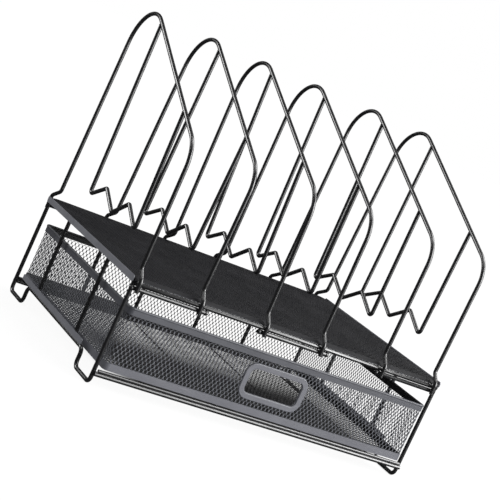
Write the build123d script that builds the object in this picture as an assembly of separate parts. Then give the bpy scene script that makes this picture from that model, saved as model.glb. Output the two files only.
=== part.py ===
from build123d import *
import math
import os

# Desk organizer of bent steel wire: five upright sections over a mesh shelf, and a mesh drawer below.
# Millimetres. +X is the right side, +Y the rear, +Z up. The origin is on the desk, under the middle.

# ---- driving dimensions -------------------------------------------------------------------------
WIRE = 4.0                  # diameter of the frame, divider and strut wire
RACK_WIRE = 3.0             # diameter of the two cross wires under the drawer
RUNNER_WIRE = 1.4           # diameter of the thin wires that the drawer runs on
FRAME_X = 175.0             # side frame wire axis, left and right of the middle
LEG_Y = 124.0               # leg axis, in front of and behind the middle
CROSS_Y = 127.7             # long cross wires, welded on the outer faces of the legs
FOOT_LENGTH = 39.0          # leg axis to riser axis in the turned-up foot
FOOT_BEND = 6.0             # bend radius at the feet
TOP_BEND = 4.0              # bend radius where a leg turns under the shelf
RAIL_Z = 19.6               # lower side rail axis
SHELF_RUN_Z = 102.6         # side run axis under the shelf
BASE_WIRE_Z = 11.8          # lower cross wires, front and rear
STRUT_Y = 57.5              # side struts, in front of and behind the middle
REAR_STRUTS_X = (-101.0, -37.3, 37.3, 101.0)
REAR_STRUT_Y = 123.9        # rear struts, welded on the inner sides of the rear cross wires
RUNNERS_X = (-128.7, -48.4, 48.4, 128.7)

# flat steel strips along the sides
STRIP = 0.8                 # strip thickness
SHELF_STRIP_Z = (100.4, 106.3)
SHELF_STRIP_Y = (-126.0, 125.0)
BASE_STRIP_Z = (21.5, 27.0)
BASE_STRIP_Y = (-83.0, 102.0)

# shelf
SHEET = 0.8                 # thickness of the expanded steel sheet
FRONT_WIRE_Z = 100.0        # shelf wire along the front edge
APRON_DEPTH = 6.5           # length over which the sheet turns down to the front wire
CORNER_BEND = 12.0          # rear corners of the shelf wire
REAR_RETURN = 36.0          # how far the rear shelf wire comes forward inside the side runs

# upright dividers
LOOP_X = (-172.4, -107.3, -35.4, 29.5, 103.4, 167.4)    # place of each hand-fitted loop
FRONT_LEAN = (-1.6, 1.1, -4.3, -2.1, 0.0, 2.1)  # sideways lean of each loop at the top of its front leg
REAR_LEAN = (2.2, 4.5, -5.0, -2.5, 1.2, 7.1)    # and at the top of its rear leg
LOOP_FOOT_Y = 131.9         # loop legs pass outside the shelf wires
LOOP_FOOT_Z = 93.0          # lower end of the loop legs
FRONT_LEG_Y = -122.8
REAR_LEG_Y = 114.3
REAR_TOP_Z = 338.6          # where the slope would meet the rear leg
FRONT_TOP_Z = 228.6         # where the slope would meet the front leg
REAR_TOP_BEND = (37.0, 37.0, 37.0, 36.0, 34.0, 34.0)
FRONT_TOP_BEND = 30.0
FRONT_JOG_Z = (104.4, 113.2)
REAR_JOG_Z = (107.0, 116.0)
JOG_BEND = 5.0

# wavy wire hung inside each loop
WAVE_REAR_Y = 56.6
WAVE_FRONT_Y = -72.8
WAVE_POINTS = ((54.0, 133.0), (22.0, 148.6), (-10.0, 133.2), (-38.5, 150.8), (-70.6, 134.2))
WAVE_BEND = 3.6
WAVE_SHIFT = (3.2, 0.0, 3.5, 1.8, 2.4, 1.2)     # how far the lower part of each wave stands to the right of its loop

# wires that join the loops of a pair below the shelf wires
CLIP_Y = 128.1
CLIP_FRONT_Z = 95.7
CLIP_REAR_Z = 96.8
CLIP_OVERHANG = (4.5, 8.5)  # from the left and the right loop to the middle of the ball end
CLIP_BALL = 5.0             # diameter of the ball end

# drawer
DRAWER_X = 170.0            # half width
DRAWER_FRONT_Y = -129.4
DRAWER_REAR_Y = 120.9
DRAWER_BOTTOM_Z = 18.3
DRAWER_TOP_Z = 79.8
DRAWER_CORNER = 5.0         # outer corner radius of the walls and rims
RIM = 1.8                   # thickness of a rim, folded over the edge of the walls
TOP_RIM = 7.3               # height of the upper rim with its rolled edge
BOTTOM_RIM = 7.0            # height of the lower rim
ROLL = 2.6                  # diameter of the rolled upper edge
HEM = 3.0                   # how far the wall sheets reach into the fold of a rim
# openings of the wall mesh, 2.25 times as large as the real ones, which are 4.2 wide in rows 3.5 apart
MESH_PITCH = 9.45           # between openings of a row
MESH_ROW = 7.9              # between rows, which are staggered
MESH_WEB = 1.3              # steel left between two openings side by side
MESH_KNOT = 2.9             # steel left between two openings, one above the other
HANDLE_X = 35.2             # half width of the handle frame
HANDLE_Z = (31.7, 67.7)
HANDLE_BAR = 5.8            # width of the handle frame's face
HANDLE_CORNER = 11.0
HANDLE_DEPTH = 2.6

R = WIRE / 2
OPENING_HALF_WIDTH = (MESH_PITCH - MESH_WEB) / 2
OPENING_HALF_HEIGHT = MESH_ROW - MESH_KNOT / 2
X_DIR = Vector(1, 0, 0)
Y_DIR = Vector(0, 1, 0)
Z_DIR = Vector(0, 0, 1)


# ---- helpers ------------------------------------------------------------------------------------
def save(name, shape):
    """Write one sub-part."""
    shape.label = name
    export_step(shape, f"parts/{name}.step")


def bent_path(points, bends, closed=False):
    """Centre line of a bent wire: straight runs joined by an arc of the given radius at each corner."""
    pts = [Vector(*p) for p in points]
    corners = list(zip(pts, pts[1:], pts[2:]))
    if closed:
        start = (pts[0] + pts[-1]) * 0.5
        corners = list(zip([start] + pts, pts, pts[1:] + [start]))
        end = start
    else:
        start = pts[0]
        end = pts[-1]
    edges = []
    for (before, corner, after), bend in zip(corners, bends):
        u = (before - corner).normalized()
        w = (after - corner).normalized()
        half = math.radians(u.get_angle(w)) / 2
        reach = bend / math.tan(half)
        centre = corner + (u + w).normalized() * (bend / math.sin(half))
        middle = centre + (corner - centre).normalized() * bend
        first = corner + u * reach
        last = corner + w * reach
        edges.append(Edge.make_line(start, first))
        edges.append(Edge.make_three_point_arc(first, middle, last))
        start = last
    edges.append(Edge.make_line(start, end))
    return Wire(edges)


def round_wire(path, diameter=WIRE):
    """A round wire along a centre line."""
    section = Plane(origin=path @ 0, z_dir=path % 0) * Circle(diameter / 2)
    return sweep(section, path=path)


def straight_wire(start, end, diameter=WIRE):
    """A straight round wire between two points."""
    axis = Vector(*end) - Vector(*start)
    return extrude(Plane(origin=start, z_dir=axis) * Circle(diameter / 2), amount=axis.length)


def block(x_range, y_range, z_range):
    """A plain block between three pairs of faces."""
    size = [high - low for low, high in (x_range, y_range, z_range)]
    middle = [(high + low) / 2 for low, high in (x_range, y_range, z_range)]
    return Pos(*middle) * Box(*size)


# ---- frame --------------------------------------------------------------------------------------
def side_frame(x):
    """One closed wire: legs, turned-up feet, lower rail and the run under the shelf."""
    riser_y = LEG_Y - FOOT_LENGTH
    points = [
        (x, -LEG_Y, SHELF_RUN_Z),
        (x, -LEG_Y, R),
        (x, -riser_y, R),
        (x, -riser_y, RAIL_Z),
        (x, riser_y, RAIL_Z),
        (x, riser_y, R),
        (x, LEG_Y, R),
        (x, LEG_Y, SHELF_RUN_Z),
    ]
    bends = [TOP_BEND] + [FOOT_BEND] * 6 + [TOP_BEND]
    return round_wire(bent_path(points, bends, closed=True))


def side_strip(x_inner, side, y_range, z_range):
    """A flat strip on the outer face of a side frame, with rounded ends."""
    outer = x_inner + side * STRIP
    strip = block(sorted((x_inner, outer)), y_range, z_range)
    return fillet(strip.edges().filter_by(Axis.X), (z_range[1] - z_range[0]) * 0.3)


def shelf_sheet():
    """Flat sheet over the side runs, with rounded rear corners and a front edge turned down to the wire."""
    bottom = SHELF_RUN_Z + R
    half_x = FRAME_X + R - 0.1
    rear_y = CROSS_Y + 1.3
    front_y = -CROSS_Y + APRON_DEPTH
    flat = block((-half_x, half_x), (front_y, rear_y), (bottom, bottom + SHEET))
    rear_corners = flat.edges().filter_by(Axis.Z).group_by(Axis.Y)[-1]
    flat = fillet(rear_corners, CORNER_BEND + 1.5)
    wire_top = FRONT_WIRE_Z + R
    apron_half_x = FRAME_X - R - 0.4
    apron = Plane.YZ * make_face(Polyline(
        (front_y, bottom),
        (front_y, bottom + SHEET),
        (-CROSS_Y - 0.4, wire_top + SHEET),
        (-CROSS_Y - 0.4, wire_top),
        close=True,
    ))
    apron = Pos(-apron_half_x, 0, 0) * extrude(apron, amount=2 * apron_half_x, dir=X_DIR)
    return flat + apron


def shelf_rear_wire():
    """Rear shelf wire with rounded corners; its ends lie along the inner sides of the side runs."""
    side_x = FRAME_X - WIRE + 0.02
    points = [
        (-side_x, CROSS_Y - REAR_RETURN, SHELF_RUN_Z),
        (-side_x, CROSS_Y, SHELF_RUN_Z),
        (side_x, CROSS_Y, SHELF_RUN_Z),
        (side_x, CROSS_Y - REAR_RETURN, SHELF_RUN_Z),
    ]
    return round_wire(bent_path(points, [CORNER_BEND] * 2))


def build_frame():
    rack_z = BASE_WIRE_Z + R + RACK_WIRE / 2
    runner_z = rack_z + (RACK_WIRE + RUNNER_WIRE) / 2 - 0.1
    for side, word in ((-1, "left"), (1, "right")):
        x = side * FRAME_X
        face = side * (FRAME_X + R)
        frame = side_frame(x)
        save(f"side_frame_{word}", frame)
        save(f"shelf_strip_{word}", side_strip(face, side, SHELF_STRIP_Y, SHELF_STRIP_Z))
        save(f"base_strip_{word}", side_strip(face, side, BASE_STRIP_Y, BASE_STRIP_Z))
        for y, place in ((-STRUT_Y, "front"), (STRUT_Y, "rear")):
            strut = straight_wire((x, y, RAIL_Z), (x, y, SHELF_RUN_Z))
            save(f"side_strut_{word}_{place}", strut - frame)
    for y, place in ((-CROSS_Y, "front"), (CROSS_Y, "rear")):
        rack_half = FRAME_X - R - 0.3
        save(f"base_{place}_wire", straight_wire((-FRAME_X, y, BASE_WIRE_Z), (FRAME_X, y, BASE_WIRE_Z)))
        rack = straight_wire((-rack_half, y, rack_z), (rack_half, y, rack_z), RACK_WIRE)
        save(f"rack_{place}_wire", rack)
    for number, x in enumerate(RUNNERS_X, start=1):
        reach = CROSS_Y + RACK_WIRE / 2
        runner = straight_wire((x, -reach, runner_z), (x, reach, runner_z), RUNNER_WIRE)
        save(f"runner_{number}", runner)
    for number, x in enumerate(REAR_STRUTS_X, start=1):
        low = BASE_WIRE_Z - R
        strut = straight_wire((x, REAR_STRUT_Y, low), (x, REAR_STRUT_Y, SHELF_RUN_Z + R - 0.5))
        save(f"rear_strut_{number}", strut)
    front_half = FRAME_X + R - 0.5
    front_wire = straight_wire((-front_half, -CROSS_Y, FRONT_WIRE_Z), (front_half, -CROSS_Y, FRONT_WIRE_Z))
    save("shelf_front_wire", front_wire)
    save("shelf_rear_wire", shelf_rear_wire())
    save("shelf_sheet", shelf_sheet())


# ---- upright dividers ---------------------------------------------------------------------------
def depth_share(y):
    """Where y lies between the front legs, 0, and the rear legs, 1, of the loops."""
    return (y - FRONT_LEG_Y) / (REAR_LEG_Y - FRONT_LEG_Y)


def slope_z(y):
    """Height of the sloping top of a loop at y."""
    return FRONT_TOP_Z + depth_share(y) * (REAR_TOP_Z - FRONT_TOP_Z)


def leaned(number, y, z):
    """A point of a loop, counted 1 to 6 from the left, which leans a little to one side."""
    share = min(max(depth_share(y), 0), 1)
    rise = max((z - SHELF_RUN_Z) / (slope_z(y) - SHELF_RUN_Z), 0)
    lean = FRONT_LEAN[number - 1] * (1 - share) + REAR_LEAN[number - 1] * share
    return (LOOP_X[number - 1] + lean * rise, y, z)


def divider_loop(number):
    """Outer loop: jogged front foot, front leg, sloping top, rear leg and jogged rear foot."""
    outline = [
        (-LOOP_FOOT_Y, LOOP_FOOT_Z),
        (-LOOP_FOOT_Y, FRONT_JOG_Z[0]),
        (FRONT_LEG_Y, FRONT_JOG_Z[1]),
        (FRONT_LEG_Y, FRONT_TOP_Z),
        (REAR_LEG_Y, REAR_TOP_Z),
        (REAR_LEG_Y, REAR_JOG_Z[1]),
        (LOOP_FOOT_Y, REAR_JOG_Z[0]),
        (LOOP_FOOT_Y, LOOP_FOOT_Z),
    ]
    bends = [JOG_BEND, JOG_BEND, FRONT_TOP_BEND, REAR_TOP_BEND[number - 1], JOG_BEND, JOG_BEND]
    points = [leaned(number, y, z) for y, z in outline]
    return round_wire(bent_path(points, bends))


def divider_wave(number):
    """Wavy wire hung from the sloping top, clear of the shelf."""
    hang = R - 0.4
    top = leaned(number, WAVE_REAR_Y, slope_z(WAVE_REAR_Y) - hang)
    end = leaned(number, WAVE_FRONT_Y, slope_z(WAVE_FRONT_Y) - hang)
    points = [top]
    for wave_y, wave_z in WAVE_POINTS:
        x, y, z = leaned(number, wave_y, wave_z)
        points.append((x + WAVE_SHIFT[number - 1], y, z))
    points.append(end)
    wave = round_wire(bent_path(points, [WAVE_BEND] * len(WAVE_POINTS)))
    return wave - divider_loop(number)


def clip_wire(first, second, y, z):
    """Straight wire below a shelf wire, from one loop's foot to the next, with a ball at each end."""
    low = LOOP_X[first - 1] - CLIP_OVERHANG[0]
    high = LOOP_X[second - 1] + CLIP_OVERHANG[1]
    wire = straight_wire((low, y, z), (high, y, z))
    return wire + Pos(low, y, z) * Sphere(CLIP_BALL / 2) + Pos(high, y, z) * Sphere(CLIP_BALL / 2)


def build_dividers():
    for number in range(1, 7):
        save(f"divider_loop_{number}", divider_loop(number))
        save(f"divider_wave_{number}", divider_wave(number))
    for pair in range(1, 4):
        first = 2 * pair - 1
        save(f"clip_front_{pair}", clip_wire(first, first + 1, -CLIP_Y, CLIP_FRONT_Z))
        save(f"clip_rear_{pair}", clip_wire(first, first + 1, CLIP_Y, CLIP_REAR_Z))


# ---- drawer -------------------------------------------------------------------------------------
def drawer_outline(inset):
    """Outline of the drawer seen from above, inside its outer faces by the inset."""
    depth = DRAWER_REAR_Y - DRAWER_FRONT_Y
    middle_y = (DRAWER_REAR_Y + DRAWER_FRONT_Y) / 2
    outline = RectangleRounded(2 * (DRAWER_X - inset), depth - 2 * inset, DRAWER_CORNER - inset)
    return Pos(0, middle_y, 0) * outline


def drawer_ring(inset, thickness, z_range):
    """A band of steel that follows the outline of the drawer."""
    flat = drawer_outline(inset) - drawer_outline(inset + thickness)
    return Pos(0, 0, z_range[0]) * extrude(flat, amount=z_range[1] - z_range[0])


def opening_places(width, height):
    """Middles of the staggered openings on a flat field of mesh."""
    columns = int((width - MESH_PITCH) / MESH_PITCH)
    rows = int((height - 2 * OPENING_HALF_HEIGHT) / MESH_ROW) + 1
    places = []
    for row in range(rows):
        odd = row % 2
        for column in range(columns - odd):
            x = (column - (columns - 1 - odd) / 2) * MESH_PITCH
            places.append((x, (row - (rows - 1) / 2) * MESH_ROW))
    return places


def drawer_wall(sheet, plane, width, height, kept_clear=(0, 0)):
    """One wall cut out of the wall sheet: mesh openings on its flat field, none on the part kept clear."""
    tall = Polyline(
        (-OPENING_HALF_WIDTH, 0),
        (0, OPENING_HALF_HEIGHT),
        (OPENING_HALF_WIDTH, 0),
        (0, -OPENING_HALF_HEIGHT),
        close=True,
    )
    opening = make_face(tall)
    cutters = []
    for x, z in opening_places(width, height):
        if abs(x) > kept_clear[0] or abs(z) > kept_clear[1]:
            cutters.append(extrude(plane * Pos(x, z) * opening, amount=2 * SHEET, both=True))
    return sheet - cutters


def handle_frame():
    """Rounded frame round the finger hole, standing a little proud of the drawer front."""
    width = 2 * HANDLE_X
    height = HANDLE_Z[1] - HANDLE_Z[0]
    middle_z = (HANDLE_Z[0] + HANDLE_Z[1]) / 2
    outer = RectangleRounded(width, height, HANDLE_CORNER)
    inner = RectangleRounded(width - 2 * HANDLE_BAR, height - 2 * HANDLE_BAR, HANDLE_CORNER - HANDLE_BAR)
    plane = Plane(origin=(0, DRAWER_FRONT_Y - 0.3, middle_z), x_dir=X_DIR, z_dir=-Y_DIR)
    frame = extrude(plane * (outer - inner), amount=-HANDLE_DEPTH)
    return fillet(frame.edges().group_by(Axis.Y)[0], 0.8)


def build_drawer():
    low = DRAWER_BOTTOM_Z + BOTTOM_RIM
    high = DRAWER_TOP_Z - TOP_RIM
    roll_z = DRAWER_TOP_Z - ROLL / 2
    leaf = (RIM - SHEET) / 2
    walls = drawer_ring(leaf, SHEET, (low - HEM, high + HEM))

    top_rim = drawer_ring(0, RIM, (high, roll_z))
    top_rim += round_wire((Pos(0, 0, roll_z) * drawer_outline(RIM / 2)).wire(), ROLL)
    save("drawer_top_rim", top_rim - walls)
    save("drawer_bottom_rim", drawer_ring(0, RIM, (DRAWER_BOTTOM_Z, low)) - walls)
    frame = handle_frame()
    save("drawer_handle_frame", frame)

    # the wall sheet: front and rear between the corners, the sides with the corners
    middle_y = (DRAWER_REAR_Y + DRAWER_FRONT_Y) / 2
    middle_z = (low + high) / 2
    flat_x = DRAWER_X - DRAWER_CORNER
    flat_y = (DRAWER_REAR_Y - DRAWER_FRONT_Y) / 2 - DRAWER_CORNER
    tall = (low - HEM, high + HEM)
    height = high - low
    front_part = block((-flat_x, flat_x), (DRAWER_FRONT_Y, middle_y), tall)
    rear_part = block((-flat_x, flat_x), (middle_y, DRAWER_REAR_Y), tall)
    at_front = Plane(origin=(0, DRAWER_FRONT_Y + RIM / 2, middle_z), x_dir=X_DIR, z_dir=-Y_DIR)
    at_rear = Plane(origin=(0, DRAWER_REAR_Y - RIM / 2, middle_z), x_dir=X_DIR, z_dir=-Y_DIR)

    hole_z = (HANDLE_Z[0] + HANDLE_Z[1]) / 2
    hole_height = HANDLE_Z[1] - HANDLE_Z[0] - HANDLE_BAR
    hole = RectangleRounded(2 * HANDLE_X - HANDLE_BAR, hole_height, HANDLE_CORNER / 2)
    hole = extrude(at_front * Pos(0, hole_z - middle_z) * hole, amount=2 * SHEET, both=True)
    clear = (HANDLE_X + OPENING_HALF_WIDTH / 2, height)
    front = drawer_wall(walls & front_part, at_front, 2 * flat_x, height, clear)
    save("drawer_front_sheet", front - hole - frame)
    save("drawer_rear_sheet", drawer_wall(walls & rear_part, at_rear, 2 * flat_x, height))
    for side, word in ((-1, "left"), (1, "right")):
        side_part = block(sorted((side * flat_x, side * DRAWER_X)), (DRAWER_FRONT_Y, DRAWER_REAR_Y), tall)
        at_side = Plane(origin=(side * (DRAWER_X - RIM / 2), middle_y, middle_z), x_dir=Y_DIR, z_dir=X_DIR)
        save(f"drawer_{word}_sheet", drawer_wall(walls & side_part, at_side, 2 * flat_y, height))

    floor = extrude(drawer_outline(RIM), amount=SHEET)
    save("drawer_floor_sheet", Pos(0, 0, DRAWER_BOTTOM_Z) * floor)


os.makedirs("parts", exist_ok=True)
build_frame()
build_dividers()
build_drawer()
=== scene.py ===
"""Looks for a desk organizer of black coated steel wire with a mesh shelf and a mesh drawer."""
import math

import bmesh
import bpy
from mathutils import Matrix, Vector


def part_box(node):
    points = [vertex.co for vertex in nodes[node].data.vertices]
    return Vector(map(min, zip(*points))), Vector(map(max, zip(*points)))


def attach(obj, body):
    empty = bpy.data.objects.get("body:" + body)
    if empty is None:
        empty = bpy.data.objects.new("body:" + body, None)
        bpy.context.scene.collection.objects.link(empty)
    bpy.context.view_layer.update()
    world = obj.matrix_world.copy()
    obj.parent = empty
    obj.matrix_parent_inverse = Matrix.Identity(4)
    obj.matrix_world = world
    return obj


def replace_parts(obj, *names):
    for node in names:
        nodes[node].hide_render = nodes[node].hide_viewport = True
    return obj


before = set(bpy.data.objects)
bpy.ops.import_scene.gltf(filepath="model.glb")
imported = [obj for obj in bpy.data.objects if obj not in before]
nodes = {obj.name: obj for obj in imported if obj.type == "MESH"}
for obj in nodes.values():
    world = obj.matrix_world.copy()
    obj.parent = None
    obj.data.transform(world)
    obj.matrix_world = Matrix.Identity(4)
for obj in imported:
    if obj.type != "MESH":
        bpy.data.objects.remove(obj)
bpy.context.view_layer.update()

MM = 0.001

# ---- sizes, in millimetres ------------------------------------------------------------------------
WIRE_RADIUS = 2.0                   # of the frame's thick wires
BALL = 5.0                          # diameter of the ball on the end of a clip wire
LEG_Y = 124.0                       # from the middle of the organizer to the axis of a leg
RAIL_TOP = 21.4                     # top of the lower side rails, less the depth of a weld

MESH_PITCH = 4.2                    # between knuckles along a row
MESH_ROW = 3.5                      # between rows of knuckles

# Each mesh: width, height and thickness of a knuckle, width and thickness of a strand, the sides of
# a strand, and the turns of knuckle and strand out of the sheet, in radians.
WALL_MESH = {"knuckle": (1.25, 2.0, 0.45), "strand": (0.38, 0.42), "sides": 4, "turns": (0.25, 0.6)}
FLOOR_MESH = {"knuckle": (1.0, 1.9, 0.42), "strand": (0.42, 0.42), "sides": 3, "turns": (0.35, 0.6)}
SHELF_MESH = {"knuckle": (1.3, 2.1, 0.55), "strand": (0.6, 0.6), "sides": 3, "turns": (0.36, 0.6)}

RIM_MIDDLE = 0.9                    # from the outer face of the rims to the middle of the wall mesh
RIM_HEM = 2.5                       # how far the wall mesh reaches into the rims
RIM_CORNER = 5.0                    # outer corner radius of the rims
HANDLE_LAP = 2.9                    # how far the wall mesh reaches in behind the handle frame
HANDLE_CORNER = 8.0                 # corner radius of the hole in the wall mesh
FLOOR_RISE = 0.5                    # from the underside of the lower rim to the middle of the floor mesh
FLOOR_EDGE = 1.6                    # from the outer face of the rim to the edge of the floor mesh

SHELF_STEEL = 0.8                   # thickness of the sheet that the shelf is cut from
SHELF_BORDER = 4.0                  # width of its solid border
SHELF_CORNER = 13.5                 # radius of its rear corners
SHELF_FOLD = 6.9                    # depth of the front edge that is turned down to the front wire


# ---- small helpers --------------------------------------------------------------------------------
def box_mm(name):
    """Lowest and highest corner of a node, in millimetres."""
    low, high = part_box(name)
    return Vector(low) / MM, Vector(high) / MM


def middle_mm(name):
    """Middle of a node's box, in millimetres."""
    low, high = box_mm(name)
    return [(a + b) / 2 for a, b in zip(low, high)]


def points_mm(name):
    """Every corner point of a node's surface, in millimetres."""
    return [Vector(vertex.co) / MM for vertex in nodes[name].data.vertices]


def arc(x, y, radius, begin, sweep, steps, z=0.0):
    """Points on a level arc about (x, y), from one angle on through a sweep, in degrees."""
    angles = [math.radians(begin + sweep * step / steps) for step in range(steps + 1)]
    return [(x + radius * math.cos(angle), y + radius * math.sin(angle), z) for angle in angles]


def length_of(points, closed):
    """Length of a run of points."""
    ends = list(points[1:]) + ([points[0]] if closed else [])
    return sum((Vector(b) - Vector(a)).length for a, b in zip(points, ends))


def placed(name, data):
    """A new object for a mesh, a curve, a light or a camera, linked to the scene."""
    made = bpy.data.objects.new(name, data)
    bpy.context.collection.objects.link(made)
    return made


class Tree:
    """Adds nodes to a node tree and joins them, with values or other nodes' outputs as inputs."""

    def __init__(self, tree):
        self.tree = tree

    def feed(self, socket, value):
        """Joins another node's output to a socket, or sets the socket's own value."""
        if isinstance(value, bpy.types.NodeSocket):
            self.tree.links.new(value, socket)
        else:
            socket.default_value = value

    def add(self, kind, inputs=None, **settings):
        """A new node, with its settings made first and then its inputs, by name or number."""
        made = self.tree.nodes.new(kind)
        for key, value in settings.items():
            setattr(made, key, value)
        for key, value in (inputs or {}).items():
            self.feed(made.inputs[key], value)
        return made

    def math(self, operation, first, second=0.0, third=0.0):
        node = self.add("ShaderNodeMath", {0: first, 1: second, 2: third}, operation=operation)
        return node.outputs[0]

    def half(self, value):
        return self.math("MULTIPLY", value, 0.5)

    def vector(self, operation, first, second=(0.0, 0.0, 0.0)):
        node = self.add("ShaderNodeVectorMath", {0: first, 1: second}, operation=operation)
        return node.outputs["Value" if operation in ("LENGTH", "DOT_PRODUCT") else "Vector"]

    def scaled(self, vector, factor):
        node = self.add("ShaderNodeVectorMath", {0: vector, "Scale": factor}, operation="SCALE")
        return node.outputs["Vector"]

    def combine(self, x=0.0, y=0.0, z=0.0):
        return self.add("ShaderNodeCombineXYZ", {"X": x, "Y": y, "Z": z}).outputs[0]

    def separate(self, vector):
        return self.add("ShaderNodeSeparateXYZ", {0: vector}).outputs

    def spread(self, value, low, high, to_low=0.0, to_high=1.0, shape="LINEAR"):
        """A value carried over from one range to another, and held at its ends."""
        inputs = {"Value": value, "From Min": low, "From Max": high, "To Min": to_low, "To Max": to_high}
        return self.add("ShaderNodeMapRange", inputs, interpolation_type=shape).outputs["Result"]

    def mix_colour(self, factor, first, second):
        """A mix of two colours, which are inputs 6 and 7 of the node; the mix is its output 2."""
        return self.add("ShaderNodeMix", {0: factor, 6: first, 7: second}, data_type="RGBA").outputs[2]

    def noise(self, coordinates, scale, detail=2.0, roughness=0.5):
        inputs = {"Vector": coordinates, "Scale": scale, "Detail": detail, "Roughness": roughness}
        return self.add("ShaderNodeTexNoise", inputs).outputs["Fac"]

    def object_place(self):
        return self.add("ShaderNodeTexCoord").outputs["Object"]

    def facing(self):
        return self.add("ShaderNodeNewGeometry").outputs["Normal"]

    def group(self, group, inputs):
        return self.add("ShaderNodeGroup", inputs, node_tree=group).outputs

    def moved(self, shape, **change):
        """A shape after a change that is named as an input of the Transform node."""
        return self.add("GeometryNodeTransform", {"Geometry": shape, **change}).outputs[0]


def new_group(name, kind, inputs, outputs):
    """A helper for an empty node group with named inputs and outputs, and the group's two ends."""
    tree = bpy.data.node_groups.new(name, kind)
    for label, socket, default in inputs:
        made = tree.interface.new_socket(name=label, in_out="INPUT", socket_type=socket)
        if default is not None:
            made.default_value = default
    for label, socket in outputs:
        tree.interface.new_socket(name=label, in_out="OUTPUT", socket_type=socket)
    given = tree.nodes.new("NodeGroupInput").outputs
    out = tree.nodes.new("NodeGroupOutput").inputs
    return Tree(tree), given, out


# ---- shader groups --------------------------------------------------------------------------------
def powder_coat_group():
    """Baked powder coat: a fine orange-peel surface, cloudy gloss and scattered pale grains."""
    make, given, out = new_group(
        "powder_coat", "ShaderNodeTree",
        [("Color", "NodeSocketColor", (0.02, 0.02, 0.02, 1)),
         ("Grain Color", "NodeSocketColor", (0.1, 0.1, 0.1, 1)),
         ("Gloss Low", "NodeSocketFloat", 0.25),
         ("Gloss High", "NodeSocketFloat", 0.4),
         ("Peel per Metre", "NodeSocketFloat", 900.0),
         ("Cloud per Metre", "NodeSocketFloat", 30.0),
         ("Grain Amount", "NodeSocketFloat", 0.3)],
        [("Color", "NodeSocketColor"), ("Roughness", "NodeSocketFloat"), ("Height", "NodeSocketFloat")])
    fine_per_peel = 3.1
    fine_height = 0.25
    cloud_colour = 0.35
    place = make.object_place()
    peel = make.noise(place, given["Peel per Metre"])
    cloud = make.noise(place, given["Cloud per Metre"], detail=3.0, roughness=0.6)
    fine = make.noise(place, make.math("MULTIPLY", given["Peel per Metre"], fine_per_peel), detail=1.0)
    grain = make.math("MULTIPLY", make.spread(fine, 0.60, 0.72), given["Grain Amount"])
    haze = make.spread(cloud, 0.3, 0.75, 0.0, cloud_colour)
    cloudy = make.mix_colour(haze, given["Color"], given["Grain Color"])
    make.feed(out["Color"], make.mix_colour(grain, cloudy, given["Grain Color"]))
    gloss = make.spread(cloud, 0.3, 0.7)
    gloss_range = make.math("SUBTRACT", given["Gloss High"], given["Gloss Low"])
    make.feed(out["Roughness"], make.math("MULTIPLY_ADD", gloss, gloss_range, given["Gloss Low"]))
    make.feed(out["Height"], make.math("MULTIPLY_ADD", fine, fine_height, peel))
    return make.tree


def settled_dust_group():
    """Thin dust on faces that look up, gathered in patches."""
    make, given, out = new_group(
        "settled_dust", "ShaderNodeTree",
        [("Color", "NodeSocketColor", (0.02, 0.02, 0.02, 1)),
         ("Dust Color", "NodeSocketColor", (0.35, 0.34, 0.32, 1)),
         ("Roughness", "NodeSocketFloat", 0.3),
         ("Amount", "NodeSocketFloat", 0.1),
         ("Patch per Metre", "NodeSocketFloat", 45.0)],
        [("Color", "NodeSocketColor"), ("Roughness", "NodeSocketFloat")])
    dulling = 0.5
    patch = make.noise(make.object_place(), given["Patch per Metre"], detail=4.0, roughness=0.65)
    level = make.spread(make.separate(make.facing())["Z"], 0.25, 0.95)
    mask = make.math("MULTIPLY", level, make.spread(patch, 0.35, 0.7))
    mask = make.math("MULTIPLY", mask, given["Amount"])
    make.feed(out["Color"], make.mix_colour(mask, given["Color"], given["Dust Color"]))
    make.feed(out["Roughness"], make.math("MULTIPLY_ADD", mask, dulling, given["Roughness"]))
    return make.tree


def rub_marks_group():
    """Faint rubbing: short hair scratches, in patches where the coat is thin."""
    make, given, out = new_group(
        "rub_marks", "ShaderNodeTree",
        [("Color", "NodeSocketColor", (0.02, 0.02, 0.02, 1)),
         ("Bare Color", "NodeSocketColor", (0.3, 0.3, 0.32, 1)),
         ("Roughness", "NodeSocketFloat", 0.3),
         ("Amount", "NodeSocketFloat", 0.3),
         ("Direction", "NodeSocketVector", (40.0, 900.0, 900.0))],
        [("Color", "NodeSocketColor"), ("Roughness", "NodeSocketFloat")])
    patches_per_metre = 60.0
    dulling = 0.25
    place = make.object_place()
    along = make.vector("MULTIPLY", place, given["Direction"])
    hair = make.spread(make.noise(along, 1.0, roughness=0.6), 0.66, 0.74)
    patch = make.spread(make.noise(place, patches_per_metre), 0.5, 0.68)
    mask = make.math("MULTIPLY", make.math("MULTIPLY", hair, patch), given["Amount"])
    make.feed(out["Color"], make.mix_colour(mask, given["Color"], given["Bare Color"]))
    make.feed(out["Roughness"], make.math("MULTIPLY_ADD", mask, dulling, given["Roughness"]))
    return make.tree


def painted_inner_shade_group():
    """Painted shade: darkens the faces that look in over the drawer towards near black, as if they lay in
    shade.
    """
    make, given, out = new_group(
        "painted_inner_shade", "ShaderNodeTree",
        [("Color", "NodeSocketColor", (0.05, 0.05, 0.05, 1)),
         ("Inner Shade Color", "NodeSocketColor", (0.005, 0.005, 0.006, 1))],
        [("Color", "NodeSocketColor")])
    # normal times place is a face's distance from the middle, in metres, and below zero if it looks in
    begins, full = -0.03, -0.08
    from_middle = make.vector("MULTIPLY", make.object_place(), (1.0, 1.0, 0.0))
    inward = make.spread(make.vector("DOT_PRODUCT", make.facing(), from_middle), begins, full)
    make.feed(out["Color"], make.mix_colour(inward, given["Color"], given["Inner Shade Color"]))
    return make.tree


COAT = powder_coat_group()
INNER_SHADE = painted_inner_shade_group()
DUST = settled_dust_group()
RUB = rub_marks_group()


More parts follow.
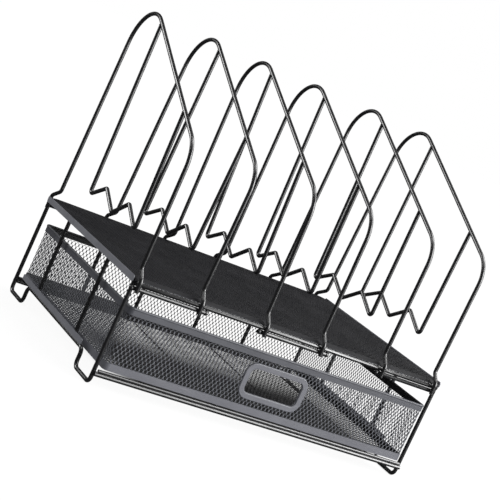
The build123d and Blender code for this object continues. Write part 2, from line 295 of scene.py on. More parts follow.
# ---- finishes -------------------------------------------------------------------------------------
def coated_steel(name, colour, grain, gloss, peel, dust, rub, scratches, coat, bump, specular=0.5,
                 inner=False):
    """A coated steel finish: powder coat, then painted shade on the faces that look in over the drawer if
    asked, then rub marks, then dust, over one shader.
    """
    coat_roughness = 0.2
    relief_depth = 0.04 * MM
    material = bpy.data.materials.new(name)
    material.use_nodes = True
    make = Tree(material.node_tree)
    shader = material.node_tree.nodes["Principled BSDF"].inputs
    paint = make.group(COAT, {"Color": (*colour, 1), "Grain Color": (*grain, 1), "Gloss Low": gloss[0],
                              "Gloss High": gloss[1], "Peel per Metre": peel})
    tone = paint["Color"]
    # painted shade on the faces that look in over the drawer
    if inner:
        tone = make.group(INNER_SHADE, {"Color": tone})["Color"]
    marks = make.group(RUB, {"Color": tone, "Roughness": paint["Roughness"], "Amount": rub,
                             "Direction": scratches})
    powder = make.group(DUST, {"Color": marks["Color"], "Roughness": marks["Roughness"], "Amount": dust})
    relief = make.add("ShaderNodeBump", {"Strength": bump, "Distance": relief_depth,
                                         "Height": paint["Height"]})
    make.feed(shader["Base Color"], powder["Color"])
    make.feed(shader["Roughness"], powder["Roughness"])
    make.feed(shader["Normal"], relief.outputs["Normal"])
    shader["Coat Weight"].default_value = coat
    shader["Coat Roughness"].default_value = coat_roughness
    shader["Specular IOR Level"].default_value = specular
    return material


# Hair scratches per metre along X, Y and Z: they run along the axis with the fewest.
UP_THE_WIRES = (500.0, 500.0, 30.0)
ALONG_CROSS_WIRES = (30.0, 500.0, 500.0)
FRONT_TO_REAR = (900.0, 25.0, 900.0)
ALONG_THE_BAND = (25.0, 600.0, 900.0)
EVERY_WAY = (400.0, 400.0, 400.0)

GLOSS_BLACK = {"colour": (0.004, 0.004, 0.0045), "grain": (0.010, 0.010, 0.011), "gloss": (0.26, 0.34),
               "peel": 750.0, "dust": 0.02, "rub": 0.04, "coat": 0.5, "bump": 0.05}
BLACK_WIRE = coated_steel("black_wire_coat", scratches=UP_THE_WIRES, **GLOSS_BLACK)
BLACK_CROSS = coated_steel("black_cross_wire_coat", scratches=ALONG_CROSS_WIRES, **GLOSS_BLACK)
RUNNER_WIRE = coated_steel(
    "runner_wire_coat", colour=(0.006, 0.006, 0.0065), grain=(0.03, 0.03, 0.032), gloss=(0.24, 0.36),
    peel=900.0, dust=0.03, rub=0.15, scratches=FRONT_TO_REAR, coat=0.3, bump=0.06)
MESH_STEEL = coated_steel(
    "mesh_coat", colour=(0.003, 0.003, 0.004), grain=(0.008, 0.008, 0.010), gloss=(0.45, 0.6),
    peel=1100.0, dust=0.008, rub=0.05, scratches=EVERY_WAY, coat=0.0, bump=0.2, specular=0.2)
# painted sheen: the wall mesh is the same black coat as the floor and shelf mesh, lightened to grey as if
# lit
WALL_STEEL_SHEEN = coated_steel(
    "wall_mesh_sheen_coat", colour=(0.046, 0.048, 0.055), grain=(0.070, 0.072, 0.081), gloss=(0.42, 0.55),
    peel=1100.0, dust=0.02, rub=0.1, scratches=EVERY_WAY, coat=0.0, bump=0.2, specular=0.3, inner=True)
# painted sheen: the black powder coat of the rims and the handle frame, lightened to grey as if lit from
# the front
GREY_BAND_SHEEN = coated_steel(
    "grey_band_sheen_coat", colour=(0.055, 0.056, 0.065), grain=(0.085, 0.087, 0.098), gloss=(0.38, 0.48),
    peel=850.0, dust=0.05, rub=0.25, scratches=ALONG_THE_BAND, coat=0.1, bump=0.45, specular=0.4,
    inner=True)
# painted sheen on the top rim, weaker than on the other bands, so the top rim reads darker as if in shade
ROLLED_RIM_SHEEN = coated_steel(
    "rolled_rim_sheen_coat", colour=(0.028, 0.029, 0.035), grain=(0.050, 0.052, 0.060), gloss=(0.42, 0.52),
    peel=850.0, dust=0.02, rub=0.25, scratches=ALONG_THE_BAND, coat=0.05, bump=0.3, specular=0.35,
    inner=True)
# painted sheen: the black coat of the side strips, lightened to grey as if lit
GREY_STRIP_SHEEN = coated_steel(
    "grey_strip_sheen_coat", colour=(0.080, 0.082, 0.094), grain=(0.115, 0.117, 0.130), gloss=(0.38, 0.48),
    peel=850.0, dust=0.05, rub=0.3, scratches=FRONT_TO_REAR, coat=0.15, bump=0.45)


# ---- pieces made by geometry nodes ----------------------------------------------------------------
def expanded_mesh_tree():
    """Expanded steel mesh laid along a path: rows of upright knuckles joined by slanted strands."""
    make, given, out = new_group(
        "expanded_mesh", "GeometryNodeTree",
        [("Path", "NodeSocketObject", None),
         ("Across", "NodeSocketVector", (0.0, 0.0, 1.0)),
         ("Columns", "NodeSocketInt", 10),
         ("Rows", "NodeSocketInt", 10),
         ("Pitch", "NodeSocketFloat", 0.0042),
         ("Row Height", "NodeSocketFloat", 0.0035),
         ("Start Along", "NodeSocketFloat", 0.0),
         ("Start Across", "NodeSocketFloat", 0.0),
         ("Knuckle", "NodeSocketVector", (0.001, 0.002, 0.0005)),
         ("Strand Width", "NodeSocketFloat", 0.0004),
         ("Strand Thickness", "NodeSocketFloat", 0.0005),
         ("Strand Sides", "NodeSocketInt", 4),
         ("Knuckle Turn", "NodeSocketFloat", 0.3),
         ("Strand Turn", "NodeSocketFloat", 0.6),
         ("Hole Middle", "NodeSocketVector", (0.0, 0.0, 0.0)),
         ("Hole Half", "NodeSocketVector", (0.0, 0.0, 0.0)),
         ("Hole Corner", "NodeSocketFloat", 0.0),
         ("Finish", "NodeSocketMaterial", None)],
        [("Geometry", "NodeSocketGeometry")])
    pitch, row = given["Pitch"], given["Row Height"]

    # the place of each knuckle, with every second row half a pitch further on
    width = make.math("MULTIPLY", make.math("SUBTRACT", given["Columns"], 1.0), pitch)
    height = make.math("MULTIPLY", make.math("SUBTRACT", given["Rows"], 1.0), row)
    grid = make.add("GeometryNodeMeshGrid", {"Size X": width, "Size Y": height,
                                             "Vertices X": given["Columns"], "Vertices Y": given["Rows"]})
    place = make.add("GeometryNodeInputPosition").outputs[0]
    part = make.separate(place)
    number = make.math("ROUND", make.math("DIVIDE", make.math("ADD", part["Y"], make.half(height)), row))
    stagger = make.math("MULTIPLY", make.math("MODULO", number, 2.0), make.half(pitch))
    begin = make.math("ADD", make.half(width), given["Start Along"])
    shift = make.combine(make.math("ADD", stagger, begin),
                         make.math("ADD", make.half(height), given["Start Across"]))
    knots = make.add("GeometryNodeSetPosition", {"Geometry": grid.outputs["Mesh"], "Offset": shift})

    # one cell: a knuckle and the two strands that rise from it to the next row
    free_share = 0.8                # share of a knuckle's height that the strands leave free
    over_corners = (1.35, 1.35, 1.0)    # a bar of few sides is narrower than the circle round it
    knuckle = make.add("GeometryNodeMeshCube", {"Size": given["Knuckle"]}).outputs["Mesh"]
    knuckle = make.moved(knuckle, Rotation=make.combine(y=given["Knuckle Turn"]))
    tall = make.separate(given["Knuckle"])["Y"]
    run_x = make.half(pitch)
    run_y = make.math("SUBTRACT", row, make.math("MULTIPLY", tall, free_share))
    squares = make.math("ADD", make.math("MULTIPLY", run_x, run_x), make.math("MULTIPLY", run_y, run_y))
    length = make.math("SQRT", squares)
    slant = make.math("ARCTAN2", run_x, run_y)
    unit_bar = {"Vertices": given["Strand Sides"], "Radius": 0.5, "Depth": 1.0}
    bar = make.add("GeometryNodeMeshCylinder", unit_bar, fill_type="NGON").outputs["Mesh"]
    size = make.combine(given["Strand Width"], given["Strand Thickness"], length)
    bar = make.moved(bar, Scale=make.vector("MULTIPLY", size, over_corners))
    bar = make.moved(bar, Rotation=(math.pi / 2, 0.0, 0.0))
    strands = []
    for side in (-1.0, 1.0):
        middle = make.combine(make.math("MULTIPLY", run_x, side * 0.5), make.half(row))
        angle = make.combine(y=given["Strand Turn"], z=make.math("MULTIPLY", slant, -side))
        strands.append(make.moved(bar, Translation=middle, Rotation=angle))
    cell = make.add("GeometryNodeJoinGeometry")
    for shape in (knuckle, *strands):
        make.feed(cell.inputs[0], shape)
    sown = make.add("GeometryNodeInstanceOnPoints", {"Points": knots.outputs[0],
                                                     "Instance": cell.outputs[0]})
    whole = make.add("GeometryNodeRealizeInstances", {"Geometry": sown.outputs[0]}).outputs[0]

    # a hole with rounded corners
    away = make.vector("ABSOLUTE", make.vector("SUBTRACT", place, given["Hole Middle"]))
    corner = make.combine(given["Hole Corner"], given["Hole Corner"], 1.0)
    beyond = make.vector("ADD", make.vector("SUBTRACT", away, given["Hole Half"]), corner)
    beyond = make.vector("MULTIPLY", make.vector("MAXIMUM", beyond), (1.0, 1.0, 0.0))
    inside = make.math("LESS_THAN", make.vector("LENGTH", beyond), given["Hole Corner"])
    whole = make.add("GeometryNodeDeleteGeometry", {"Geometry": whole, "Selection": inside},
                     domain="FACE").outputs[0]

    # the flat sheet laid along the path
    path = make.add("GeometryNodeObjectInfo", {"Object": given["Path"]}).outputs["Geometry"]
    total = make.add("GeometryNodeCurveLength", {"Curve": path}).outputs[0]
    wrapped = make.math("FLOORED_MODULO", part["X"], total)
    sample = make.add("GeometryNodeSampleCurve", {"Curves": path, "Length": wrapped}, mode="LENGTH",
                      use_all_curves=True).outputs
    outward = make.vector("NORMALIZE", make.vector("CROSS_PRODUCT", sample["Tangent"], given["Across"]))
    spot = make.vector("ADD", sample["Position"], make.scaled(given["Across"], part["Y"]))
    spot = make.vector("ADD", spot, make.scaled(outward, part["Z"]))
    laid = make.add("GeometryNodeSetPosition", {"Geometry": whole, "Position": spot}).outputs[0]
    coated = make.add("GeometryNodeSetMaterial", {"Geometry": laid, "Material": given["Finish"]})
    make.feed(out["Geometry"], coated.outputs[0])
    return make.tree


def weld_tree():
    """A small weld bead on every point of a mesh, stretched by the point's attribute."""
    make, given, out = new_group(
        "weld_beads", "GeometryNodeTree",
        [("Geometry", "NodeSocketGeometry", None),
         ("Bead Radius", "NodeSocketFloat", 0.001),
         ("Unevenness", "NodeSocketFloat", 0.18),
         ("Fineness", "NodeSocketInt", 3),
         ("Seed", "NodeSocketInt", 4),
         ("Finish", "NodeSocketMaterial", None)],
        [("Geometry", "NodeSocketGeometry")])
    bead = make.add("GeometryNodeMeshIcoSphere", {"Radius": given["Bead Radius"],
                                                  "Subdivisions": given["Fineness"]}).outputs["Mesh"]
    stretch = make.add("GeometryNodeInputNamedAttribute", {"Name": "stretch"}, data_type="FLOAT_VECTOR")
    low = make.math("SUBTRACT", 1.0, given["Unevenness"])
    high = make.math("ADD", 1.0, given["Unevenness"])
    change = make.add("FunctionNodeRandomValue", {"Min": make.combine(low, low, low),
                                                  "Max": make.combine(high, high, high),
                                                  "Seed": given["Seed"]}, data_type="FLOAT_VECTOR")
    size = make.vector("MULTIPLY", stretch.outputs[0], change.outputs[0])
    sown = make.add("GeometryNodeInstanceOnPoints", {"Points": given["Geometry"], "Instance": bead,
                                                     "Scale": size})
    whole = make.add("GeometryNodeRealizeInstances", {"Geometry": sown.outputs[0]})
    smooth = make.add("GeometryNodeSetShadeSmooth", {"Geometry": whole.outputs[0]})
    coated = make.add("GeometryNodeSetMaterial", {"Geometry": smooth.outputs[0],
                                                  "Material": given["Finish"]})
    make.feed(out["Geometry"], coated.outputs[0])
    return make.tree


MESH_TREE = expanded_mesh_tree()
WELD_TREE = weld_tree()


def made_by(tree, values, name, start=None):
    """The plain mesh that a geometry node tree makes with these inputs, as one finished piece."""
    carrier = placed(name + "_maker", start or bpy.data.meshes.new(name + "_start"))
    modifier = carrier.modifiers.new("maker", "NODES")
    modifier.node_group = tree
    for item in tree.interface.items_tree:
        if item.in_out == "INPUT" and item.name in values:
            modifier[item.identifier] = values[item.name]
    carrier.update_tag()
    view = bpy.context.evaluated_depsgraph_get()
    mesh = bpy.data.meshes.new_from_object(carrier.evaluated_get(view))
    mesh.name = name
    bpy.data.objects.remove(carrier)
    return placed(name, mesh)


def path_object(name, points, closed):
    """A poly curve through points given in millimetres."""
    curve = bpy.data.curves.new(name, "CURVE")
    curve.dimensions = "3D"
    line = curve.splines.new("POLY")
    line.points.add(len(points) - 1)
    for spot, point in zip(line.points, points):
        spot.co = (*(Vector(point) * MM), 1)
    line.use_cyclic_u = closed
    return placed(name, curve)


def mesh_sheet(name, body, node_names, kind, finish, points, closed, across, start, columns, rows,
               hole=None):
    """A sheet of expanded mesh along a path, in place of its plain CAD sheet."""
    path = path_object(name + "_path", points, closed)
    pitch = length_of(points, closed) / columns if closed else MESH_PITCH
    values = {
        "Path": path,
        "Across": across,
        "Columns": columns,
        "Rows": rows,
        "Pitch": pitch * MM,
        "Row Height": MESH_ROW * MM,
        "Start Along": start[0] * MM,
        "Start Across": start[1] * MM,
        "Knuckle": [size * MM for size in kind["knuckle"]],
        "Strand Width": kind["strand"][0] * MM,
        "Strand Thickness": kind["strand"][1] * MM,
        "Strand Sides": kind["sides"],
        "Knuckle Turn": kind["turns"][0],
        "Strand Turn": kind["turns"][1],
        "Finish": finish,
    }
    if hole:
        middle, half, corner = hole
        values["Hole Middle"] = (middle[0] * MM, middle[1] * MM, 0.0)
        values["Hole Half"] = (half[0] * MM, half[1] * MM, 0.0)
        values["Hole Corner"] = corner * MM
    piece = made_by(MESH_TREE, values, name)
    bpy.data.objects.remove(path)
    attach(piece, body)
    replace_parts(piece, *node_names)


def bead_seeds(name, places, stretches):
    """Loose points for weld beads, in millimetres, each with its stretch along X, Y and Z."""
    start = bpy.data.meshes.new(name)
    start.from_pydata([Vector(place) * MM for place in places], [], [])
    sizes = start.attributes.new("stretch", "FLOAT_VECTOR", "POINT")
    for spot, stretch in zip(sizes.data, stretches):
        spot.vector = stretch
    return start


# ---- drawer ---------------------------------------------------------------------------------------
def drawer_outline(low, high, corner):
    """Points round a rectangle with rounded corners, from the middle of the front, seen from above."""
    centres = ((high.x - corner, low.y + corner, -90), (high.x - corner, high.y - corner, 0),
               (low.x + corner, high.y - corner, 90), (low.x + corner, low.y + corner, 180))
    points = [(0.0, low.y, 0.0)]
    for x, y, begin in centres:
        points += arc(x, y, corner, begin, sweep=90, steps=6)
    return points


def build_drawer_walls():
    """The mesh walls, one closed band inside the rims, with the hole for the fingers."""
    low, high = box_mm("drawer_bottom_rim")
    upper, _ = box_mm("drawer_top_rim")
    hole_low, hole_high = box_mm("drawer_handle_frame")
    inset = Vector((RIM_MIDDLE, RIM_MIDDLE, 0))
    outline = drawer_outline(low + inset, high - inset, RIM_CORNER - RIM_MIDDLE)
    total = length_of(outline, True)
    columns = round(total / MESH_PITCH)
    bottom = high.z - RIM_HEM
    first_row = 1.0
    rows = int((upper.z + RIM_HEM - bottom) / MESH_ROW)
    start = (-total / 2, bottom + first_row)
    middle = (0.0, (hole_low.z + hole_high.z) / 2)
    half = ((hole_high.x - hole_low.x) / 2 - HANDLE_LAP, (hole_high.z - hole_low.z) / 2 - HANDLE_LAP)
    walls = ["drawer_front_sheet", "drawer_rear_sheet", "drawer_left_sheet", "drawer_right_sheet"]
    mesh_sheet("drawer_wall_mesh", "drawer", walls, WALL_MESH, WALL_STEEL_SHEEN, outline, True, (0.0, 0.0, 1.0),
               start, columns, rows, (middle, half, HANDLE_CORNER))


def build_drawer_floor():
    """The mesh floor, flat inside the lower rim."""
    low, high = box_mm("drawer_bottom_rim")
    level = low.z + FLOOR_RISE
    run = [(low.x + FLOOR_EDGE, 0.0, level), (high.x - FLOOR_EDGE, 0.0, level)]
    columns = int((run[1][0] - run[0][0]) / MESH_PITCH)
    rows = int((high.y - low.y - 2 * FLOOR_EDGE) / MESH_ROW)
    start = (MESH_PITCH / 4, (low.y + high.y) / 2 - (rows - 1) * MESH_ROW / 2)
    mesh_sheet("drawer_floor_mesh", "drawer", ["drawer_floor_sheet"], FLOOR_MESH, MESH_STEEL, run, False,
               (0.0, 1.0, 0.0), start, columns, rows)


# ---- solid pieces of the shelf and the frame ------------------------------------------------------
def piece_from(work, name, coat):
    """The piece that a finished bmesh makes, with its faces turned outward."""
    bmesh.ops.recalc_face_normals(work, faces=work.faces)
    mesh = bpy.data.meshes.new(name)
    work.to_mesh(mesh)
    work.free()
    mesh.materials.append(coat)
    return placed(name, mesh)


def band(name, lines, bevel):
    """A solid strip whose section passes through one point of each line; the lines have equal counts."""
    work = bmesh.new()
    rings = [[work.verts.new(Vector(point) * MM) for point in line] for line in lines]
    for first, second in zip(rings, rings[1:] + rings[:1]):
        for a, b, c, d in zip(first, first[1:], second[1:], second):
            work.faces.new((a, b, c, d))
    work.faces.new([ring[0] for ring in rings])
    work.faces.new([ring[-1] for ring in rings])
    piece = piece_from(work, name, MESH_STEEL)
    soften = piece.modifiers.new("edges", "BEVEL")
    soften.width = bevel * MM
    soften.segments = 2
    soften.limit_method = "ANGLE"
    return piece


def shelf_edge(low, high, fold_y, inset, height):
    """Line round the left, rear and right of the shelf, inside its outer edge by the inset."""
    bend = SHELF_CORNER - inset
    corner_y = high.y - SHELF_CORNER
    left = arc(low.x + SHELF_CORNER, corner_y, bend, begin=180, sweep=-90, steps=8, z=height)
    right = arc(high.x - SHELF_CORNER, corner_y, bend, begin=90, sweep=-90, steps=8, z=height)
    return [(low.x + inset, fold_y, height), *left, *right, (high.x - inset, fold_y, height)]


def build_shelf_border(low, high, fold_y):
    """The solid border along the left, the rear and the right."""
    top = high.z
    under = high.z - SHELF_STEEL
    corners = ((0, top), (SHELF_BORDER, top), (SHELF_BORDER, under), (0, under))
    lines = [shelf_edge(low, high, fold_y, inset, height) for inset, height in corners]
    rim = band("shelf_border", lines, bevel=0.15)
    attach(rim, "frame")
    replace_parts(rim, "shelf_sheet")


def build_shelf_apron(low, high, fold_y):
    """The front edge, turned down to the front wire, with the toothed line where the mesh was cut."""
    notch = 0.35                    # depth of a notch between two teeth
    slope = 0.38                    # how much the turned-down edge rises per millimetre of depth
    side_gap = 0.5
    under_gap = 0.05
    half_x = high.x - side_gap
    teeth = int(2 * half_x / MESH_PITCH)
    top_line, edge_top, edge_low, low_line = [], [], [], []
    for step in range(2 * teeth + 1):
        x = -half_x + step * half_x / teeth
        reach = 0.0 if step % 2 else notch
        top_line.append((x, fold_y, high.z))
        edge_top.append((x, low.y + reach, low.z + SHELF_STEEL + reach * slope))
        edge_low.append((x, low.y + reach, low.z + under_gap + reach * slope))
        low_line.append((x, fold_y, high.z - SHELF_STEEL))
    apron = band("shelf_apron", [top_line, edge_top, edge_low, low_line], bevel=0.1)
    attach(apron, "frame")
    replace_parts(apron, "shelf_sheet")

    margin = 1.0
    sunk = 0.5
    tip = (0.62, 0.5, 0.45)
    ends = 2 * teeth
    places = [(-half_x + margin + (2 * half_x - 2 * margin) * step / ends, low.y + sunk, low.z + sunk)
              for step in range(ends + 1)]
    seeds = bead_seeds("cut_ends", places, [tip] * len(places))
    # the cut ends take the wall mesh coat, with its painted sheen
    tips = made_by(WELD_TREE, {"Bead Radius": MM, "Unevenness": 0.3, "Seed": 3, "Fineness": 2,
                               "Finish": WALL_STEEL_SHEEN}, "shelf_cut_ends", seeds)
    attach(tips, "frame")


def build_shelf_mesh(low, high, fold_y):
    """The mesh of the shelf, which runs from front to rear and in under the border."""
    lap = 1.0
    front_lap = 1.5
    level = high.z - SHELF_STEEL / 2
    run = [(0.0, fold_y - front_lap, level), (0.0, high.y - SHELF_BORDER + lap, level)]
    columns = int(length_of(run, False) / MESH_PITCH)
    rows = int((high.x - low.x - 2 * SHELF_BORDER + 2 * lap) / MESH_ROW)
    start = (MESH_PITCH / 4, -(rows - 1) * MESH_ROW / 2)
    mesh_sheet("shelf_mesh", "frame", ["shelf_sheet"], SHELF_MESH, MESH_STEEL, run, False, (1.0, 0.0, 0.0),
               start, columns, rows)


def build_shelf():
    """The shelf's border, front edge and mesh, in place of the plain CAD sheet."""
    low, high = box_mm("shelf_sheet")
    fold_y = low.y + SHELF_FOLD
    build_shelf_border(low, high, fold_y)
    build_shelf_apron(low, high, fold_y)
    build_shelf_mesh(low, high, fold_y)


# ---- cross wires whose outer ends follow the photograph -------------------------------------------
def turned_wire(name, profile, y, z):
    """A straight wire along X with closed ends, turned from pairs of place and radius."""
    sides = 20
    work = bmesh.new()
    rings = []
    for x, radius in profile[1:-1]:
        angles = [2 * math.pi * side / sides for side in range(sides)]
        ring = [(x, y + radius * math.cos(angle), z + radius * math.sin(angle)) for angle in angles]
        rings.append([work.verts.new(Vector(point) * MM) for point in ring])
    tips = [work.verts.new(Vector((x, y, z)) * MM) for x, _ in (profile[0], profile[-1])]
    for first, second in zip(rings, rings[1:]):
        for side in range(sides):
            after = (side + 1) % sides
            work.faces.new((first[side], first[after], second[after], second[side]))
    for tip, ring in zip(tips, (rings[0], rings[-1])):
        for side in range(sides):
            work.faces.new((tip, ring[side], ring[(side + 1) % sides]))
    piece = piece_from(work, name, BLACK_CROSS)
    piece.data.shade_smooth()
    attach(piece, "frame")
    return piece


def cut_end(x, radius, inward):
    """Profile of a cut end with a rounded edge, from its tip inward."""
    flatness = 0.4
    return [(x, 0)] + [(x + inward * radius * flatness * (1 - math.cos(angle)), radius * math.sin(angle))
                       for angle in (0.5, 1.0, math.pi / 2)]


def ball_end(x, radius, inward):
    """Profile of an end with a ball, from its tip to where the ball meets the wire."""
    steps = 8
    reach = BALL / 2
    last = math.pi - math.asin(radius / reach)
    angles = [last * step / steps for step in range(1, steps + 1)]
    return [(x, 0)] + [(x + inward * reach * (1 - math.cos(angle)), reach * math.sin(angle))
                       for angle in angles]


def build_cross_wires():
    """Wires whose outer ends are cut at the legs; a clip keeps the ball at its inner end."""
    for name, left_cut, right_cut in (("clip_rear_1", -172.5, None), ("clip_front_3", None, 173.5),
                                      ("shelf_front_wire", -174.5, 174.5)):
        low, high = box_mm(name)
        _, y, z = middle_mm(name)
        radius = WIRE_RADIUS if name.startswith("clip") else (high.z - low.z) / 2
        left = cut_end(left_cut, radius, 1) if left_cut else ball_end(low.x, radius, 1)
        right = cut_end(right_cut, radius, -1) if right_cut else ball_end(high.x, radius, -1)
        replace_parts(turned_wire(name + "_turned", left + right[::-1], y, z), name)


# ---- welds ----------------------------------------------------------------------------------------
# Reach of each kind of bead along X, Y and Z, in millimetres.
STRUT_BEAD = (2.35, 2.6, 0.9)
LEG_BEAD = (1.5, 1.0, 2.2)
RUNNER_BEAD = (1.5, 1.0, 0.55)
REAR_STRUT_BEAD = (2.1, 0.8, 1.6)
FOOT_BEAD = (1.7, 0.9, 1.5)
WAVE_BEAD = (2.2, 2.2, 1.2)


def wire_line(name, outward):
    """Y of the axis of a wire's outermost run, at the front or the rear."""
    low, high = box_mm(name)
    return outward * (max(abs(low.y), abs(high.y)) - WIRE_RADIUS)


def wave_end(number, rear):
    """Middle of the rear or front end of a wavy wire, where it hangs from its loop."""
    end_height = 2.5
    side = [point for point in points_mm(f"divider_wave_{number}") if (point.y > 0) == rear]
    height = max(point.z for point in side)
    ends = [point for point in side if point.z > height - end_height]
    return tuple(sum(ends, Vector()) / len(ends))


def foot_x(number):
    """X of the middle of a loop's feet, from the lowest millimetre of its wire."""
    name = f"divider_loop_{number}"
    lowest = box_mm(name)[0].z + 1.0
    across = [point.x for point in points_mm(name) if point.z < lowest]
    return (min(across) + max(across)) / 2


def side_welds():
    """Struts on the side frames, and the long cross wires on the legs."""
    inside_leg = 1.4
    strut_sunk = 0.4
    spots = []
    for word, side in (("left", -1), ("right", 1)):
        x = middle_mm(f"side_frame_{word}")[0]
        for place in ("front", "rear"):
            strut = f"side_strut_{word}_{place}"
            for z in (RAIL_TOP, box_mm(strut)[1].z - strut_sunk):
                spots.append(((x, middle_mm(strut)[1], z), STRUT_BEAD))
        for place, outward in (("front", -1), ("rear", 1)):
            for wire in (f"base_{place}_wire", f"shelf_{place}_wire"):
                y = (wire_line(wire, outward) + outward * LEG_Y) / 2
                spots.append(((x - side * inside_leg, y, middle_mm(wire)[2]), LEG_BEAD))
    return spots


def rack_and_rear_welds():
    """Runners on the rack wires, and rear struts on the rear cross wires."""
    from_end = 2.0
    spots = []
    for number in range(1, 5):
        x = middle_mm(f"runner_{number}")[0]
        for place in ("front", "rear"):
            wire = f"rack_{place}_wire"
            spots.append(((x, middle_mm(wire)[1], box_mm(wire)[1].z), RUNNER_BEAD))
        strut = f"rear_strut_{number}"
        low, high = box_mm(strut)
        for z in (low.z + from_end, high.z - from_end):
            spots.append(((middle_mm(strut)[0], high.y, z), REAR_STRUT_BEAD))
    return spots


def loop_welds():
    """Feet of the loops on the shelf wires and on the clip wires, and the wavy wires' ends."""
    spots = []
    for number in range(1, 7):
        x = foot_x(number)
        for place, outward in (("front", -1), ("rear", 1)):
            y = wire_line(f"divider_loop_{number}", outward) - outward * WIRE_RADIUS
            for wire in (f"shelf_{place}_wire", f"clip_{place}_{(number + 1) // 2}"):
                spots.append(((x, y, middle_mm(wire)[2]), FOOT_BEAD))
        for rear in (True, False):
            spots.append((wave_end(number, rear), WAVE_BEAD))
    return spots


def build_welds():
    """Beads where the wires of the frame are joined."""
    spots = side_welds() + rack_and_rear_welds() + loop_welds()
    seeds = bead_seeds("weld_spots", [place for place, _ in spots], [stretch for _, stretch in spots])
    beads = made_by(WELD_TREE, {"Bead Radius": MM, "Unevenness": 0.15, "Seed": 7, "Finish": BLACK_CROSS},
                    "frame_welds", seeds)
    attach(beads, "frame")


# ---- finish of the CAD nodes ----------------------------------------------------------------------
def finish_nodes():
    """Gives every node that stays its coat."""
    for name, node in nodes.items():
        if name == "drawer_top_rim":
            coat = ROLLED_RIM_SHEEN
        elif "rim" in name or "handle" in name:
            coat = GREY_BAND_SHEEN
        elif "strip" in name:
            coat = GREY_STRIP_SHEEN
        elif "runner" in name or "rack" in name:
            coat = RUNNER_WIRE
        elif name.startswith(("base_", "shelf_front", "shelf_rear", "clip")):
            coat = BLACK_CROSS
        else:
            coat = BLACK_WIRE
        node.data.materials.clear()
        node.data.materials.append(coat)


# ---- studio ---------------------------------------------------------------------------------------
def grey(value):
    """An even grey, as a colour with its alpha."""
    return (value, value, value, 1)


def pale_paper():
    """White ground that glows evenly, with a painted soft-edged shadow under the drawer, where the ground
    is black and hardly glows.
    """
    soft_edges = (                  # axis, where the painted shadow begins and where it is fully dark, in metres
        ("X", -0.145, -0.095),
        ("X", 0.208, 0.165),
        ("Y", -0.094, -0.066),
        ("Y", 0.125, 0.040),
    )
    near, far = 0.8, 4.0            # over this distance from the middle the ground grows lighter
    paper = bpy.data.materials.new("pale_paper")
    paper.use_nodes = True
    make = Tree(paper.node_tree)
    place = make.object_place()
    axes = make.separate(place)
    painted_shadow = 1.0
    for axis, begins, dark in soft_edges:
        edge = make.spread(axes[axis], begins, dark, shape="SMOOTHSTEP")
        painted_shadow = make.math("MULTIPLY", edge, painted_shadow)
    tint = make.mix_colour(make.noise(place, scale=3.0), grey(0.045), grey(0.050))
    distance = make.spread(make.vector("LENGTH", place), near, far)
    glow = make.mix_colour(distance, grey(0.92), grey(0.97))
    shader = paper.node_tree.nodes["Principled BSDF"].inputs
    # painted shadow: black ground and almost no glow in the patch under the drawer
    make.feed(shader["Base Color"], make.mix_colour(painted_shadow, tint, grey(0.0)))
    make.feed(shader["Emission Color"], make.mix_colour(painted_shadow, glow, grey(0.02)))
    shader["Emission Strength"].default_value = 1.0
    shader["Roughness"].default_value = 0.9
    shader["Specular IOR Level"].default_value = 0.0
    return paper


def build_floor():
    """A wide floor that reflections don't show and that casts no shadow."""
    reach = 14.0
    corners = [(-reach, -reach, 0), (reach, -reach, 0), (reach, reach, 0), (-reach, reach, 0)]
    mesh = bpy.data.meshes.new("floor")
    mesh.from_pydata(corners, [], [(0, 1, 2, 3)])
    mesh.materials.append(pale_paper())
    floor = placed("floor", mesh)
    floor.visible_glossy = False
    floor.visible_shadow = False


def build_air():
    """White light from all round, which reflections hardly show."""
    mirrored_strength = 0.04
    world = bpy.data.worlds.new("studio")
    bpy.context.scene.world = world
    world.use_nodes = True
    make = Tree(world.node_tree)
    air = world.node_tree.nodes["Background"].inputs
    mirrored = make.add("ShaderNodeLightPath").outputs["Is Glossy Ray"]
    air["Color"].default_value = grey(1)
    make.feed(air["Strength"], make.spread(mirrored, 0.0, 1.0, 1.0, mirrored_strength))
    world.cycles.sampling_method = "NONE"


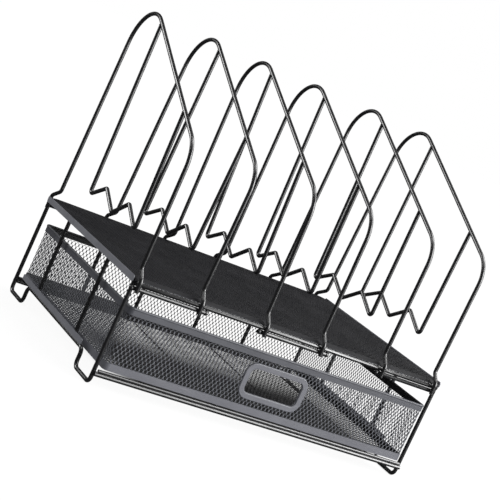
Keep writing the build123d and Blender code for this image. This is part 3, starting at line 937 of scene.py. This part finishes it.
def softbox(name, spot, size, radiance):
    """A rectangular soft light that looks at the middle of the organizer."""
    target = Vector((0.0, 0.0, 0.14))
    light = bpy.data.lights.new(name, "AREA")
    light.shape = "RECTANGLE"
    light.size, light.size_y = size
    light.energy = radiance * math.pi * size[0] * size[1]
    lamp = placed(name, light)
    lamp.location = spot
    lamp.rotation_euler = (target - Vector(spot)).to_track_quat("-Z", "Y").to_euler()


def build_lights():
    """Soft lights mostly from the right, which draw the bright lines along the wires."""
    softbox("front_right", spot=(1.15, -1.95, 0.85), size=(2.2, 2.0), radiance=6.0)
    softbox("right_strip", spot=(1.65, -1.45, 1.15), size=(0.8, 2.2), radiance=13.0)
    softbox("top_right", spot=(1.2, 0.0, 2.0), size=(1.0, 2.0), radiance=8.0)
    softbox("top_left", spot=(-0.8, -0.3, 2.2), size=(0.8, 0.8), radiance=6.0)
    softbox("rear_left", spot=(-1.76, 1.70, 1.03), size=(0.8, 1.4), radiance=9.0)


def build_camera():
    """A long lens at the photograph's viewing angle; the picture is taken as 500 by 500."""
    picture = 500.0
    focal_px = 1523.127
    centre_px = (259.605, 248.849)
    sensor_mm = 36.0
    spot = Vector((-0.7599, -1.2990, 0.3313))
    yaw, pitch, roll = (math.radians(angle) for angle in (30.288, -6.900, 24.775))
    ahead = Vector((math.sin(yaw) * math.cos(pitch), math.cos(yaw) * math.cos(pitch), math.sin(pitch)))
    level = Vector((math.cos(yaw), -math.sin(yaw), 0.0))
    upright = level.cross(ahead)
    right = level * math.cos(roll) + upright * math.sin(roll)
    up = right.cross(ahead)
    lens = bpy.data.cameras.new("camera")
    lens.sensor_width = sensor_mm
    lens.lens = focal_px / picture * sensor_mm
    lens.shift_x = (picture / 2 - centre_px[0]) / picture
    lens.shift_y = (centre_px[1] - picture / 2) / picture
    lens.clip_end = 60.0
    camera = placed("camera", lens)
    turn = Matrix((right, up, -ahead)).transposed()
    camera.matrix_world = Matrix.Translation(spot) @ turn.to_4x4()
    bpy.context.scene.camera = camera


finish_nodes()
build_drawer_walls()
build_drawer_floor()
build_shelf()
build_cross_wires()
build_welds()
build_floor()
build_air()
build_lights()
build_camera()
bpy.context.scene.view_settings.view_transform = "Standard"
